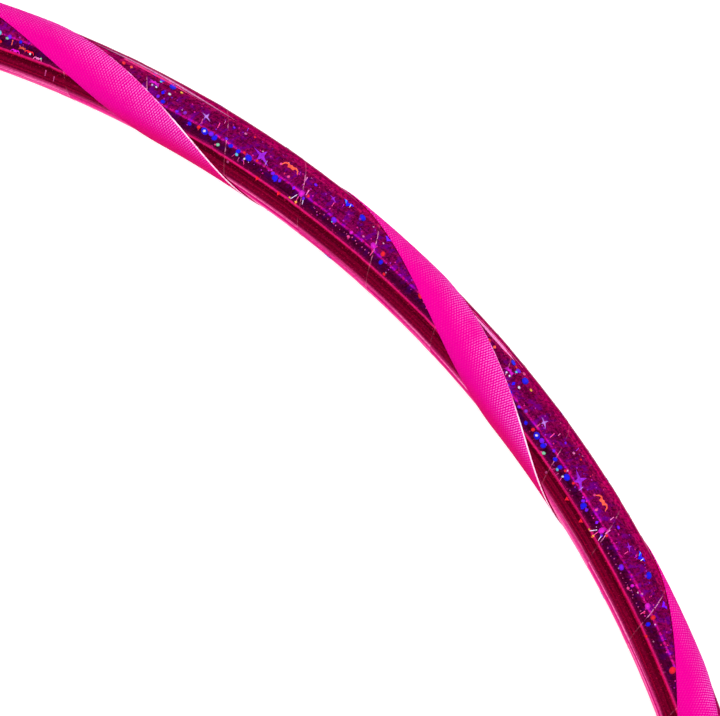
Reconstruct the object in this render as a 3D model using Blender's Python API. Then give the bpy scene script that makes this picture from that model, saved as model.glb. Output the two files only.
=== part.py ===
"""A taped gymnastics hoop: a plastic tube bent into a ring and closed by an insert with a snap button.

The ring lies flat on Z = 0 with its axis on +Z and the world origin at its centre. Metres and degrees.
A place on the tube is given by three values: turn is the angle round the ring from +X, around is the
angle round the tube's section from its top (positive towards the outside of the ring), and the radius
is measured from the tube's centreline.
"""

import math

import bmesh
import bpy
from mathutils import Vector

MM = 0.001

# Ring and tube
RING_RADIUS = 292.0 * MM  # to the tube's centreline
TUBE_RADIUS = 8.0 * MM
TUBE_WALL = 1.6 * MM
BUTT_GAP = 0.4 * MM  # between the tube's two ends
JOINT_TURN = 279.0

# Tapes
ADHESIVE = 0.05 * MM
FOIL_THICKNESS = 0.10 * MM
GRIP_THICKNESS = 0.30 * MM
GRIP_WIDTH = 11.7 * MM
GRIP_TURNS = 16  # windings round the whole ring
GRIP_TOP_TURN = 42.0  # where one winding crosses the top of the tube
GRIP_DRIFT = 1.53  # hand winding: the windings open up by this much near GRIP_TOP_TURN
GRIP_LEAN = 0.85  # hand winding: the strip lies flatter on the top than underneath

# Insert that closes the ring
INSERT_CLEARANCE = 0.10 * MM
INSERT_WALL = 1.5 * MM
INSERT_LENGTH = 100.0 * MM

# Snap button and its V spring
BUTTON_RADIUS = 2.4 * MM
BUTTON_FROM_JOINT = 14.0 * MM
BUTTON_PROUD = 1.2 * MM
BUTTON_DOME = 0.5 * MM
HOLE_CLEARANCE = 0.2 * MM
SPRING_THICKNESS = 0.5 * MM
SPRING_WIDTH = 4.8 * MM
SPRING_LENGTH = 20.0 * MM
SPRING_MARGIN = 1.0 * MM  # the upper leg stays level this far past the button
SPRING_TOP = 3.8 * MM  # upper leg's top, above the centreline
SPRING_FOOT = -3.8 * MM  # lower leg's underside

# Blind rivets
RIVETS_FROM_JOINT = (12.0 * MM, 32.0 * MM)
RIVET_SHANK_RADIUS = 1.5 * MM
RIVET_HEAD_RADIUS = 2.8 * MM
RIVET_HEAD_HEIGHT = 0.9 * MM
RIVET_BULB_RADIUS = 2.0 * MM
RIVET_BULB_HEIGHT = 1.6 * MM
RIVET_BULB_TOP = 4.2 * MM
RIVET_BULB_EDGE = 0.4 * MM
RIVET_CLEARANCE = 0.1 * MM
MANDREL_RADIUS = 0.85 * MM
MANDREL_RECESS = 0.2 * MM  # its broken end lies this far below the top of the dome
MANDREL_HEAD_RADIUS = 1.3 * MM
MANDREL_HEAD_HEIGHT = 1.0 * MM
MANDREL_CLEARANCE = 0.05 * MM

# Facets: every sleeve shares them, so that the layers lie parallel and never touch
RING_FACETS = 80
TUBE_FACETS = 16
ROUND_SEGMENTS = 24
DOME_STEPS = 4

BORE_RADIUS = TUBE_RADIUS - TUBE_WALL
INSERT_RADIUS = BORE_RADIUS - INSERT_CLEARANCE
INSERT_BORE = INSERT_RADIUS - INSERT_WALL
FOIL_INSIDE = TUBE_RADIUS + ADHESIVE
FOIL_OUTSIDE = FOIL_INSIDE + FOIL_THICKNESS
GRIP_INSIDE = FOIL_OUTSIDE + ADHESIVE
GRIP_OUTSIDE = GRIP_INSIDE + GRIP_THICKNESS
CENTRE_HEIGHT = GRIP_OUTSIDE  # the ring rests on the windings of the grip tape

FACET_TURN = 360.0 / RING_FACETS
FACET_AROUND = 360.0 / TUBE_FACETS
FIRST_TURN = JOINT_TURN - 360.0  # the ring runs from one side of the joint round to the other
HALF_GAP_TURN = math.degrees(BUTT_GAP / 2 / RING_RADIUS)


def turn_of(length):
    """The angle round the ring that a length along the tube covers."""
    return math.degrees(length / RING_RADIUS)


def outward(turn):
    """The level direction away from the ring's axis."""
    return Vector((math.cos(math.radians(turn)), math.sin(math.radians(turn)), 0.0))


def facet_corner(turn, around, radius):
    """A corner of the faceted tube, whose flats, and not its corners, lie at the radius."""
    corner = radius / math.cos(math.radians(FACET_AROUND / 2))
    height = CENTRE_HEIGHT + corner * math.cos(math.radians(around))
    place = outward(turn) * (RING_RADIUS + corner * math.sin(math.radians(around)))
    return place + Vector((0.0, 0.0, height))


def facet_point(turn, around, radius):
    """A point on the faceted tube, between the corners of the facet that it lies on."""
    step = (turn - FIRST_TURN) / FACET_TURN
    row = (around - FACET_AROUND / 2) / FACET_AROUND
    low_step, low_row = math.floor(step), math.floor(row)
    share_step, share_row = step - low_step, row - low_row
    corners = [
        facet_corner(
            FIRST_TURN + FACET_TURN * (low_step + i),
            FACET_AROUND / 2 + FACET_AROUND * (low_row + j),
            radius,
        )
        for i in (0, 1)
        for j in (0, 1)
    ]
    near = corners[0].lerp(corners[1], share_row)
    far = corners[2].lerp(corners[3], share_row)
    return near.lerp(far, share_step)


def material(name, colour, roughness, metallic=0.0):
    made = bpy.data.materials.new(name)
    made.use_nodes = True
    shader = made.node_tree.nodes["Principled BSDF"]
    shader.inputs["Base Color"].default_value = (*colour, 1.0)
    shader.inputs["Roughness"].default_value = roughness
    shader.inputs["Metallic"].default_value = metallic
    return made


def object_from(name, mesh_data, finish=None):
    """Turns a bmesh into a named object with outward faces, shaded smooth except at its edges."""
    bmesh.ops.recalc_face_normals(mesh_data, faces=mesh_data.faces)
    mesh = bpy.data.meshes.new(name)
    mesh_data.to_mesh(mesh)
    mesh_data.free()
    mesh.shade_smooth()
    mesh.set_sharp_from_angle(angle=math.radians(35.0))
    made = bpy.data.objects.new(name, mesh)
    bpy.context.scene.collection.objects.link(made)
    if finish is not None:
        mesh.materials.append(finish)
    return made


def facet_turns(first, last):
    """The ring angles of a sleeve's sections: its two ends and every facet line between them."""
    steps = range(
        math.floor((first - FIRST_TURN) / FACET_TURN) + 1,
        math.ceil((last - FIRST_TURN) / FACET_TURN),
    )
    return [first, *(FIRST_TURN + FACET_TURN * step for step in steps), last]


def sleeve(name, inside, outside, first, last, finish):
    """A hollow tube that follows the ring from one angle to another, with square ends."""
    made = bmesh.new()
    rows = [FACET_AROUND / 2 + FACET_AROUND * row for row in range(TUBE_FACETS)]
    before = None
    for turn in facet_turns(first, last):
        rings = [
            [made.verts.new(facet_point(turn, row, radius)) for row in rows]
            for radius in (inside, outside)
        ]
        if before is None:
            join_rings(made, *rings)
        else:
            for old, new in zip(before, rings):
                join_rings(made, old, new)
        before = rings
    join_rings(made, *before)
    return object_from(name, made, finish)


def join_rings(made, first, second):
    for i, corner in enumerate(first):
        made.faces.new((corner, first[i - 1], second[i - 1], second[i]))


def grip_turn(around):
    """Where the middle of the grip tape is, after it has wound this far round the tube."""
    wound = around / GRIP_TURNS
    drift = GRIP_DRIFT * math.sin(math.radians(wound))
    lean = GRIP_LEAN * math.sin(math.radians(around))
    return GRIP_TOP_TURN + wound + drift + lean


def grip_edge(around, side):
    """The ring angle of the tape's edge (side is 1 or -1) at this angle round the tube."""
    step = 0.5
    advance = (grip_turn(around + step) - grip_turn(around - step)) / (2 * step)
    slope = math.atan2(FOIL_OUTSIDE, RING_RADIUS * advance)
    return grip_turn(around) + side * turn_of(GRIP_WIDTH / 2 / math.sin(slope))


def cut_across(made, place, normal, drop=False):
    """Cuts the flat strip along a line, and with drop also removes what lies past it."""
    bmesh.ops.bisect_plane(
        made,
        geom=[*made.verts, *made.edges, *made.faces],
        plane_co=place,
        plane_no=normal,
        clear_outer=drop,
    )


def grip_tape(finish):
    """The cloth tape's spiral. It is laid out flat, with the ring angle as X and the angle round the tube
    as Y, cut along the facet lines, thickened along Z, and then wound onto the faceted foil."""
    made = bmesh.new()
    spare = 2  # windings beyond each end of the tube, which are trimmed off
    wound_first = (FIRST_TURN - GRIP_TOP_TURN) / 360.0 * GRIP_TURNS - spare
    wound_last = (JOINT_TURN - GRIP_TOP_TURN) / 360.0 * GRIP_TURNS + spare
    rows = [
        FACET_AROUND / 2 + FACET_AROUND * row
        for row in range(round(wound_first * TUBE_FACETS), round(wound_last * TUBE_FACETS))
    ]
    before = None
    for around in rows:
        pair = [made.verts.new((grip_edge(around, side), around, 0.0)) for side in (-1, 1)]
        if before is not None:
            made.faces.new((before[0], before[1], pair[1], pair[0]))
        before = pair
    along = Vector((1.0, 0.0, 0.0))
    cut_across(made, (FIRST_TURN + HALF_GAP_TURN, 0.0, 0.0), -along, drop=True)
    cut_across(made, (JOINT_TURN - HALF_GAP_TURN, 0.0, 0.0), along, drop=True)
    for step in range(1, RING_FACETS):
        cut_across(made, (FIRST_TURN + FACET_TURN * step, 0.0, 0.0), along)
    raised = bmesh.ops.extrude_face_region(made, geom=list(made.faces), use_keep_orig=True)
    for part in raised["geom"]:
        if isinstance(part, bmesh.types.BMVert):
            part.co.z = 1.0
    for corner in made.verts:
        turn, around, level = corner.co
        corner.co = facet_point(turn, around, GRIP_OUTSIDE if level > 0.5 else GRIP_INSIDE)
    return object_from("grip_tape", made, finish)


def turned(name, profile, turn, finish=None, hollow=False):
    """A round piece that stands upright on the tube. profile holds (radius, height above the tube's
    centreline). It runs from the top to the foot, both on the axis, or all round a hollow piece's wall."""
    made = bmesh.new()
    corners = [made.verts.new((radius, 0.0, height)) for radius, height in profile]
    edges = [made.edges.new(pair) for pair in zip(corners, corners[1:])]
    if hollow:
        edges.append(made.edges.new((corners[-1], corners[0])))
    bmesh.ops.spin(
        made,
        geom=[*corners, *edges],
        cent=(0.0, 0.0, 0.0),
        axis=(0.0, 0.0, 1.0),
        angle=2 * math.pi,
        steps=ROUND_SEGMENTS,
        use_merge=True,
    )
    bmesh.ops.remove_doubles(made, verts=made.verts, dist=0.01 * MM)
    piece = object_from(name, made, finish)
    piece.location = facet_axis(turn)
    return piece


def facet_axis(turn):
    """The point of the faceted tube's centreline at this ring angle."""
    return facet_point(turn, 0.0, 0.0)


def cut_hole(pieces, name, turn, radius):
    """Bores a hole down from the top of the tube to its centreline, through each of the pieces."""
    top = GRIP_OUTSIDE + 2 * MM
    profile = [(0.0, top), (radius, top), (radius, 0.0), (0.0, 0.0)]
    cutter = turned(name, profile, turn)
    cutter.hide_render = True
    cutter.display_type = "WIRE"
    for piece in pieces:
        hole = piece.modifiers.new(name, "BOOLEAN")
        hole.operation = "DIFFERENCE"
        hole.object = cutter


def snap_button(turn, finish):
    """The steel pin that locks the tube's free end. It stands on the spring's upper leg."""
    foot = SPRING_TOP + ADHESIVE
    top = FOIL_OUTSIDE + BUTTON_PROUD
    angles = [math.pi / 2 * step / DOME_STEPS for step in range(DOME_STEPS + 1)]
    dome = [
        (BUTTON_RADIUS * math.sin(angle), top - BUTTON_DOME * (1 - math.cos(angle)))
        for angle in angles
    ]
    return turned("snap_button", [*dome, (BUTTON_RADIUS, foot), (0.0, foot)], turn, finish)


def snap_spring(turn, finish):
    """A strip of spring steel folded into a V, with the fold towards the joint. Its lower leg lies in the
    insert's bore, and its upper leg rises from the fold and is level under the button."""
    level = BUTTON_RADIUS + SPRING_MARGIN  # half the level stretch under the button
    fold = SPRING_LENGTH - level
    low, high = SPRING_FOOT, SPRING_TOP - SPRING_THICKNESS
    thick = SPRING_THICKNESS
    outline = [
        (-level, low),
        (fold, low),
        (fold + thick, low + thick),
        (fold, low + 2 * thick),
        (level, high + thick),
        (-level, high + thick),
        (-level, high),
        (level, high),
        (fold - 3 * thick, low + thick),
        (-level, low + thick),
    ]
    made = bmesh.new()
    sides = [
        [made.verts.new((side * SPRING_WIDTH / 2, -along, height)) for along, height in outline]
        for side in (-1, 1)
    ]
    made.faces.new(sides[0])
    made.faces.new(reversed(sides[1]))
    join_rings(made, *sides)
    spring = object_from("snap_spring", made, finish)
    spring.location = facet_axis(turn)
    spring.rotation_euler.z = math.radians(turn)
    return spring


def dome_height(radius):
    """The height of the rivet head's dome, at this distance from its axis."""
    return RIVET_HEAD_HEIGHT * math.sqrt(max(0.0, 1.0 - (radius / RIVET_HEAD_RADIUS) ** 2))


def rivet_body(name, turn, finish):
    """A blind rivet's sleeve: a domed head on the foil, a shank through tube and insert, and the bulb
    that its mandrel has pulled up inside."""
    seat = FOIL_OUTSIDE + ADHESIVE
    bore = MANDREL_RADIUS + MANDREL_CLEARANCE
    bulb_foot = RIVET_BULB_TOP - RIVET_BULB_HEIGHT
    shares = [math.sin(math.pi / 2 * step / DOME_STEPS) for step in range(DOME_STEPS + 1)]
    dome_radii = [bore + (RIVET_HEAD_RADIUS - bore) * share for share in shares]
    wall = [(radius, seat + dome_height(radius)) for radius in dome_radii]
    wall += [
        (RIVET_SHANK_RADIUS, seat),
        (RIVET_SHANK_RADIUS, RIVET_BULB_TOP),
        (RIVET_BULB_RADIUS, RIVET_BULB_TOP - RIVET_BULB_EDGE),
        (RIVET_BULB_RADIUS, bulb_foot + RIVET_BULB_EDGE),
        (RIVET_SHANK_RADIUS, bulb_foot),
        (bore, bulb_foot),
    ]
    return turned(name, wall, turn, finish, hollow=True)


def rivet_mandrel(name, turn, finish):
    """The steel pin left in the rivet's sleeve, with its head under the bulb."""
    top = FOIL_OUTSIDE + ADHESIVE + RIVET_HEAD_HEIGHT - MANDREL_RECESS
    shoulder = RIVET_BULB_TOP - RIVET_BULB_HEIGHT - MANDREL_CLEARANCE
    foot = shoulder - MANDREL_HEAD_HEIGHT
    profile = [
        (0.0, top),
        (MANDREL_RADIUS, top),
        (MANDREL_RADIUS, shoulder),
        (MANDREL_HEAD_RADIUS, shoulder),
        (MANDREL_HEAD_RADIUS, foot),
        (0.0, foot),
    ]
    return turned(name, profile, turn, finish)


def build():
    for old in list(bpy.data.objects):
        bpy.data.objects.remove(old)

    plastic = material("tube_plastic", (0.86, 0.86, 0.84), 0.45)
    insert_plastic = material("insert_plastic", (0.05, 0.05, 0.055), 0.5)
    foil = material("holographic_foil", (0.50, 0.01, 0.16), 0.15, 1.0)
    cloth = material("grip_cloth", (1.0, 0.005, 0.28), 0.85)
    steel = material("bright_steel", (0.62, 0.62, 0.64), 0.25, 1.0)
    spring_steel = material("spring_steel", (0.35, 0.36, 0.38), 0.35, 1.0)
    aluminium = material("rivet_aluminium", (0.77, 0.77, 0.79), 0.35, 1.0)

    first, last = FIRST_TURN + HALF_GAP_TURN, JOINT_TURN - HALF_GAP_TURN
    tube = sleeve("hoop_tube", BORE_RADIUS, TUBE_RADIUS, first, last, plastic)
    foil_wrap = sleeve("foil_wrap", FOIL_INSIDE, FOIL_OUTSIDE, first, last, foil)
    grip_tape(cloth)

    half = turn_of(INSERT_LENGTH / 2)
    insert = sleeve(
        "joint_insert",
        INSERT_BORE,
        INSERT_RADIUS,
        JOINT_TURN - half,
        JOINT_TURN + half,
        insert_plastic,
    )

    bored = (tube, foil_wrap, insert)
    button_turn = JOINT_TURN + turn_of(BUTTON_FROM_JOINT)
    cut_hole(bored, "button_hole", button_turn, BUTTON_RADIUS + HOLE_CLEARANCE)
    snap_button(button_turn, steel)
    snap_spring(button_turn, spring_steel)
    for number, distance in enumerate(RIVETS_FROM_JOINT, start=1):
        rivet_turn = JOINT_TURN - turn_of(distance)
        cut_hole(bored, f"rivet_hole_{number}", rivet_turn, RIVET_SHANK_RADIUS + RIVET_CLEARANCE)
        rivet_body(f"rivet_body_{number}", rivet_turn, aluminium)
        rivet_mandrel(f"rivet_mandrel_{number}", rivet_turn, steel)


build()
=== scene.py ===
"""Looks of the taped hoop: holographic foil and cloth grip tape on a plastic tube, lying on a white table.

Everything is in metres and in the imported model's frame: the ring lies flat, with its axis on Z. A place on
the tube is given by turn, the angle round the ring from +X in degrees, around, the angle round the tube's
section from its top (positive towards the outside of the ring), and the distance from its centreline.
"""

import math
import random

import bmesh
import bpy
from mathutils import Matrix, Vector


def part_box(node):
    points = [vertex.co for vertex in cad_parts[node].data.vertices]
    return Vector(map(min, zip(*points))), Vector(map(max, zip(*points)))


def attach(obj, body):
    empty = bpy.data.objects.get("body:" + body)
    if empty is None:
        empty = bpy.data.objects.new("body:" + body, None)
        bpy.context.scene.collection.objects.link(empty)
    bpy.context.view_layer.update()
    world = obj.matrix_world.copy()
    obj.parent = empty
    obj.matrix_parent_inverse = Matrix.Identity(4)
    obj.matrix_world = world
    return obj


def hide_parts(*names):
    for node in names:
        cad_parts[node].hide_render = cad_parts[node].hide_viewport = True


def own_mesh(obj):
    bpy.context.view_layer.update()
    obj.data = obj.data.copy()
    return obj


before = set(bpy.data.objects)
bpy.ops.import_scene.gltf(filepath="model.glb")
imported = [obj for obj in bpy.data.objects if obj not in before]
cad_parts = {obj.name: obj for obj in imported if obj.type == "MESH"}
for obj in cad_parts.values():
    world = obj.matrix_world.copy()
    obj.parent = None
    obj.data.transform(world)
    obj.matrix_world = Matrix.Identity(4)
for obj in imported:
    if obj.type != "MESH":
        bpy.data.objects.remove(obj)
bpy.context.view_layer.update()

MM = 0.001
SHARP_ANGLE = math.radians(40.0)  # edges sharper than this stay crisp

tube_low, tube_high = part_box("hoop_tube")
grip_low, grip_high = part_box("grip_tape")
TUBE_RADIUS = (tube_high.z - tube_low.z) / 2
RING_RADIUS = (tube_high.x - tube_low.x) / 2 - TUBE_RADIUS
CENTRE_HEIGHT = (tube_high.z + tube_low.z) / 2
TUBE_WALL = 1.6 * MM
BORE_RADIUS = TUBE_RADIUS - TUBE_WALL
TUBE_STEPS = 240  # round the ring
TUBE_SEGMENTS = 48  # round the tube's section

# The joint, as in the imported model
JOINT_TURN = 279.0
BUTT_GAP = 0.4 * MM

# The holes bored down through the tube's upper wall: the node that stands in each, and the hole's radius
HOLES = [
    ("snap_button", 2.6 * MM),
    ("rivet_mandrel_1", 1.6 * MM),
    ("rivet_mandrel_2", 1.6 * MM),
]
HOLE_SEGMENTS = 64

# Foil: one strip in overlapping turns
FOIL_TURNS = 78
FOIL_PIECES = 11
FOIL_SEAM_TURN = 53.4  # where one seam crosses the top of the tube
FOIL_OVERLAP = 3.6 * MM
FOIL_RAMP = 1.0 * MM  # over which a turn comes down off the one under it
FILM = 0.045 * MM  # the film's thickness
FILM_GAP = 0.005 * MM  # between two turns where they overlap
FOIL_CLEARANCE = 0.05 * MM
FOIL_INSIDE = TUBE_RADIUS + FOIL_CLEARANCE
FOIL_OUTSIDE = FOIL_INSIDE + 2 * FILM + FILM_GAP
FOIL_STATIONS = 72  # per turn

# Cloth grip tape: an open spiral
GRIP_TURNS = 16
GRIP_PIECES = 8
GRIP_TOP_TURN = 42.0  # where one winding crosses the top of the tube
GRIP_DRIFT = 1.53  # how far the windings stray from even spacing, in degrees
GRIP_LEAN = 0.85  # how far a winding runs ahead on the ring's outside, in degrees
GRIP_WIDTH = 11.7 * MM
GRIP_THICKNESS = 0.3 * MM
GRIP_OUTSIDE = (grip_high.z - grip_low.z) / 2
GRIP_INSIDE = GRIP_OUTSIDE - GRIP_THICKNESS
GRIP_STATIONS = 260  # per turn
GRIP_FRAY = 0.07 * MM
GRIP_LIP = 0.28 * MM  # the width of its pressed edges
GRIP_DROPS = (0.14 * MM, 0.10 * MM)  # how far its two edges are pressed down
GRIP_REACH = 6.0  # further than the tape gets along the ring from its middle, in degrees

CUTTER_HEIGHT = GRIP_OUTSIDE + 2 * MM

RIB_PITCH = 0.63 * MM
THREAD_PITCH = 0.75 * MM

# The film's printed figures, as thin as a coat of ink. The print repeats along the ring, a little
# further round the tube each time.
FIGURE_FOOT = 0.003 * MM
FIGURE_HEIGHT = 0.008 * MM
FIGURE_LAYER = 0.0045 * MM
FIGURE_LAYERS = 6
FIGURE_EDGE = 0.5 * MM  # longer edges are halved, so that a figure bends with the tube
FIGURE_ROUNDS = 4  # of halving
# A figure with as many corners as a dot also gets a centre point, and fades towards its rim as a dot does
DOT_CORNERS = 12
DOT_RIM = 0.45  # how much of its tint is left at the rim
DOT_ROUNDNESS = 0.94
DOT_WOBBLE = 0.1
REPEAT_TURN = 22.87
REPEAT_AROUND = 5.5
REPEAT_START = 43.2
REPEATS = range(-7, 11)  # past the joint both ways from the repeat in view, which is 0
REPEATS_IN_PIECE = 2
JOINT_MARGIN = 1 * MM  # the figures' distance from the tube's ends
HEAD_MARGIN = 5 * MM  # and from the middles of the button and the rivets
TINTS = {
    "blue": (0.012, 0.0, 1.0),
    "violet": (0.22, 0.0, 1.0),
    "purple": (0.30, 0.01, 0.60),
    "lilac": (0.42, 0.17, 0.66),
    "magenta": (0.85, 0.0, 0.68),
    "pink": (1.0, 0.06, 0.33),
    "hot": (0.80, 0.0, 0.20),
    "pale": (0.96, 0.22, 0.55),
    "rose": (0.55, 0.06, 0.24),
    "red": (1.0, 0.006, 0.03),
    "orange": (1.0, 0.11, 0.06),
    "yellow": (1.0, 0.50, 0.06),
    "mint": (0.30, 0.83, 0.48),
    "cyan": (0.16, 0.66, 0.85),
    "white": (0.82, 0.76, 0.95),
}
# Outlines: along the ring clockwise, and round the tube outwards, in half sizes
OUTLINES = {
    "star": [(-1.0, 0.3), (-0.16, 0.2), (0.18, 0.71), (0.2, 0.1), (1.0, -0.46), (0.1, -0.18),
             (-0.18, -0.5), (-0.24, -0.04)],
    "wings": [(-1.0, 0.4), (-0.4, 0.62), (0.0, 0.2), (0.4, 0.62), (1.0, 0.4), (0.34, -0.1),
              (0.0, -0.65), (-0.34, -0.1)],
    "crab": [(-1.0, -0.34), (-0.8, 0.14), (-0.48, 0.34), (-0.2, 0.2), (0.0, 0.3), (0.2, 0.2),
             (0.48, 0.34), (0.8, 0.16), (1.0, -0.3), (0.9, -0.28), (0.68, 0.06), (0.46, 0.12),
             (0.3, -0.2), (0.0, -0.12), (-0.3, -0.22), (-0.46, 0.12), (-0.68, 0.04), (-0.9, -0.32)],
    "gem": [(0.0, 1.0), (0.7, 0.0), (0.0, -1.0), (-0.7, 0.0)],
    "drop": [(-0.9, 0.7), (0.9, 0.7), (0.0, -1.0)],
    "stroke": [(-0.2, 1.0), (0.15, 1.0), (0.3, -1.0), (0.05, -1.0)],
    "leg_left": [(0.3, 1.0), (0.5, 1.0), (-0.3, -1.0), (-0.48, -0.9)],
    "leg_right": [(-0.5, 1.0), (-0.2, 1.0), (0.55, -0.6), (0.4, -0.8)],
    "bat": [(-1.0, -0.5), (-0.75, 0.45), (-0.35, 0.25), (0.0, 0.55), (0.35, 0.25), (0.75, 0.45),
            (1.0, -0.5), (0.55, 0.0), (0.28, -0.32), (0.0, 0.05), (-0.28, -0.32), (-0.55, 0.0)],
}
# Shape, tint, turn, around, and size in mm
FIGURES = [
    ("dot", "red", 64.5, 45, 1.2),
    ("gem", "orange", 64.07, 44, 1.2),
    ("dot", "red", 62.6, 53, 0.9),
    ("bat", "magenta", 62.68, 34.5, 2.9),
    ("dot", "white", 62.73, 28.5, 0.62),
    ("dot", "white", 62.5, 28.5, 0.62),
    ("dot", "white", 61.75, 28.5, 0.8),
    ("dot", "yellow", 61.28, 45, 0.85),
    ("gem", "blue", 62.08, 25, 1.25),
    ("dot", "violet", 62.2, 14, 1.0),
    ("dot", "blue", 61.86, 9.5, 1.2),
    ("dot", "violet", 61.0, 6, 0.95),
    ("dot", "purple", 60.62, 11, 1.1),
    ("dot", "blue", 60.15, -2, 1.1),
    ("dot", "red", 59.66, 1, 1.1),
    ("dot", "blue", 59.3, 0, 2.0),
    ("dot", "white", 59.32, 0, 0.8),
    ("dot", "violet", 58.95, 2, 1.5),
    ("dot", "violet", 58.68, 3.5, 0.8),
    ("dot", "blue", 58.7, -1.5, 1.5),
    ("star", "lilac", 59.6, 25, 3.2),
    ("stroke", "rose", 59.68, 13, 1.5),
    ("dot", "mint", 58.38, -8.5, 1.0),
    ("dot", "pink", 58.5, -11, 0.5),
    ("dot", "blue", 57.79, 2, 1.25),
    ("dot", "blue", 57.33, 1, 1.3),
    ("dot", "cyan", 57.31, -5.5, 0.9),
    ("leg_left", "pink", 57.43, -10.5, 0.9),
    ("stroke", "rose", 57.12, -11, 1.1),
    ("dot", "blue", 56.71, 1, 1.9),
    ("dot", "white", 56.86, -4.5, 0.65),
    ("leg_right", "pink", 56.8, -11.5, 1.1),
    ("star", "purple", 56.22, 17, 5.8),
    ("stroke", "lilac", 55.85, 11, 1.3),
    ("dot", "red", 56.28, 5, 0.85),
    ("dot", "violet", 55.26, 2.5, 1.1),
    ("dot", "magenta", 55.42, 6, 0.6),
    ("dot", "blue", 55.05, -1.5, 1.7),
    ("dot", "violet", 54.78, -1, 1.0),
    ("gem", "blue", 54.98, -5, 1.2),
    ("dot", "red", 57.03, 5, 0.8),
    ("crab", "orange", 54.7, 32, 5.0),
    ("dot", "pink", 55.2, 26, 0.8),
    ("dot", "magenta", 53.5, 3, 1.8),
    ("dot", "violet", 53.28, -2, 0.9),
    ("gem", "violet", 53.98, 3, 1.1),
    ("leg_left", "white", 53.72, -10, 1.9),
    ("dot", "yellow", 53.87, -15.5, 0.6),
    ("leg_right", "white", 53.22, -8, 1.5),
    ("stroke", "pink", 53.53, -9, 1.3),
    ("gem", "yellow", 53.48, -15.5, 0.9),
    ("dot", "orange", 53.46, -18.5, 0.6),
    ("dot", "red", 53.15, 6.5, 0.9),
    ("dot", "violet", 53.2, 33, 1.0),
    ("star", "purple", 52.1, 32, 2.6),
    ("stroke", "pink", 51.93, 22, 1.2),
    ("wings", "blue", 51.36, 43.5, 3.2),
    ("leg_right", "cyan", 51.52, 45.0, 1.2),
    ("stroke", "white", 51.22, 43.5, 1.1),
    ("stroke", "magenta", 51.5, 34, 0.9),
    ("dot", "blue", 50.37, 40.5, 2.0),
    ("dot", "purple", 50.42, 34, 0.9),
    ("dot", "violet", 51.4, 1, 1.6),
    ("dot", "cyan", 51.42, -4, 0.4),
    ("dot", "magenta", 50.32, 3, 1.0),
    ("dot", "pink", 50.3, -6, 0.9),
    ("dot", "magenta", 49.05, 11, 1.7),
    ("dot", "red", 48.42, 11, 1.4),
    ("dot", "pale", 49.73, 12, 0.6),
    ("dot", "blue", 48.22, -2.5, 1.3),
    ("dot", "red", 47.7, -15, 0.9),
    ("stroke", "pink", 48.88, -2, 1.4),
    ("dot", "pale", 57.5, 38, 0.8),
    ("stroke", "purple", 57.55, 50, 1.4),
    ("dot", "red", 57.03, 43, 0.7),
    ("stroke", "pale", 58.68, 35.5, 0.9),
    ("stroke", "pink", 58.86, 23, 1.6),
    ("dot", "violet", 58.15, 36, 0.8),
    ("dot", "violet", 58.17, 9, 0.9),
    ("stroke", "pale", 53.3, 11, 1.6),
    ("stroke", "pale", 53.75, 31, 1.3),
    ("drop", "red", 55.78, -22, 1.3),
    ("drop", "red", 54.45, -22, 1.3),
    ("dot", "pink", 54.53, 14, 0.9),
    ("dot", "rose", 57.5, -26, 0.8),
    ("dot", "red", 45.6, 4, 2.0),
    ("wings", "violet", 48.7, 40, 2.4),
    ("dot", "blue", 62.87, 55, 1.6),
    ("dot", "violet", 62.4, 51, 1.5),
    ("dot", "blue", 61.8, 48.5, 2.2),
    ("dot", "cyan", 62.43, 45, 0.8),
    ("dot", "pink", 62.1, 58, 1.1),
]
ROW_OF_DASHES = (49.0, 52.9, 0.24)  # first turn, last turn and spacing
DASH_AROUND = (-7.0, -2.5)
DASH_SIZE = (0.3, 0.55)
# Those of one repeat that lie on the tube's lower half
HIDDEN_FIGURES = 70
HIDDEN_SHAPES = ["dot"] * 6 + ["star", "wings", "crab", "gem", "stroke"]
HIDDEN_TINTS = ["blue", "blue", "violet", "purple", "red", "magenta", "pale", "orange", "cyan"]
HIDDEN_AROUND = (85.0, 275.0)
HIDDEN_SIZE = (0.7, 1.7)
WIDE_SHAPES = ("star", "wings", "crab")  # drawn at twice the size
# Figures outside the repeats
ODD_FIGURES = [
    ("dot", "cyan", 70.76, 5, 1.3),
    ("dot", "violet", 70.2, 4, 1.2),
    ("dot", "mint", 70.3, 0, 0.8),
    ("stroke", "orange", 70.0, -4, 1.4),
    ("bat", "orange", 69.4, -8, 2.0),
    ("crab", "red", 69.0, -10, 2.6),
    ("dot", "white", 68.95, -12, 0.6),
    ("crab", "pale", 68.5, -15.5, 2.4),
    ("crab", "magenta", 69.7, -17, 2.6),
    ("dot", "mint", 68.35, -13, 0.5),
    ("dot", "blue", 69.6, 2, 1.0),
    ("stroke", "rose", 67.9, -36, 1.8),
    ("stroke", "rose", 67.4, -41, 1.6),
]
# Painted highlights beside the tape, pale and hot pink reflections drawn onto the film: tint and its corners,
# as turn and around
PAINTED_HIGHLIGHTS = [
    ("pale", [(66.3, 64.0), (65.0, 66.5), (63.0, 66.5), (61.8, 64.5), (60.6, 59.5), (59.4, 56.0),
              (58.2, 53.5), (59.4, 53.0), (60.8, 54.0), (62.0, 58.0), (63.5, 60.5), (65.0, 61.5)]),
    ("hot", [(64.6, 60.0), (63.5, 58.8), (62.0, 56.5), (60.8, 52.0), (60.0, 51.0), (61.5, 50.3),
             (63.0, 51.5), (64.6, 55.0)]),
    ("pale", [(43.6, 55.0), (43.0, 57.5), (41.8, 59.5), (40.9, 59.5), (40.0, 56.0), (40.9, 51.5),
              (41.8, 51.0), (42.8, 53.0)]),
    ("hot", [(43.4, 60.5), (41.6, 61.0), (39.5, 61.0), (39.5, 63.0), (41.6, 63.5), (43.2, 63.5)]),
]

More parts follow.
